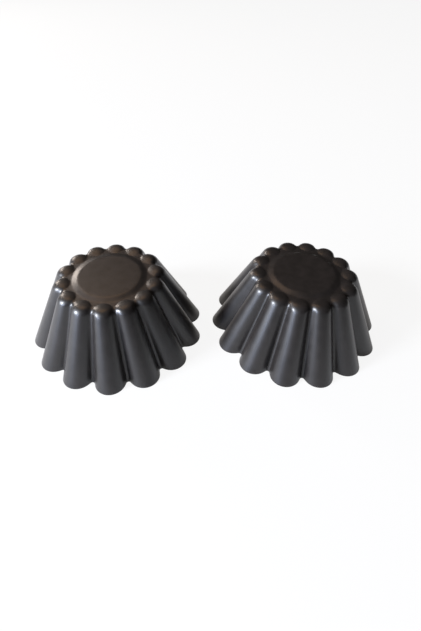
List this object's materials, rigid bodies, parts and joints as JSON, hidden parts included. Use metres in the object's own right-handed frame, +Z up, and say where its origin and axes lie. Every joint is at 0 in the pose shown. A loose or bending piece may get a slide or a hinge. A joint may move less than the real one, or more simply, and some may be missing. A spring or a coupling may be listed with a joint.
{
  "type": "fluted baking moulds",
  "caption": "Round fluted baking moulds in dark coated steel: tapered pressed cups with domed flute ends and a raised flat base, standing upside down on their rims.",
  "frame": {"origin": "middle of the pair's footprint, on the surface that the rims stand on", "axes": "+Z up from the open rims to the bases, +X from the left mould towards the right one, +Y away from the viewer"},
  "size_m": [0.2056, 0.1062, 0.0405],
  "materials": {
    "nonstick_steel_left": "satin dark graphite non-stick coat on pressed steel",
    "nonstick_steel_right": "satin dark graphite non-stick coat on pressed steel"
  },
  "bodies": {
    "left": {"left_mould": "nonstick_steel_left"},
    "right": {"right_mould": "nonstick_steel_right"}
  },
  "joints": [
    {"name": "right_mould_lift", "type": "slide", "parent": "left", "child": "right", "axis": [0, 0, 1], "range_m": [0, 0.06]}
  ]
}
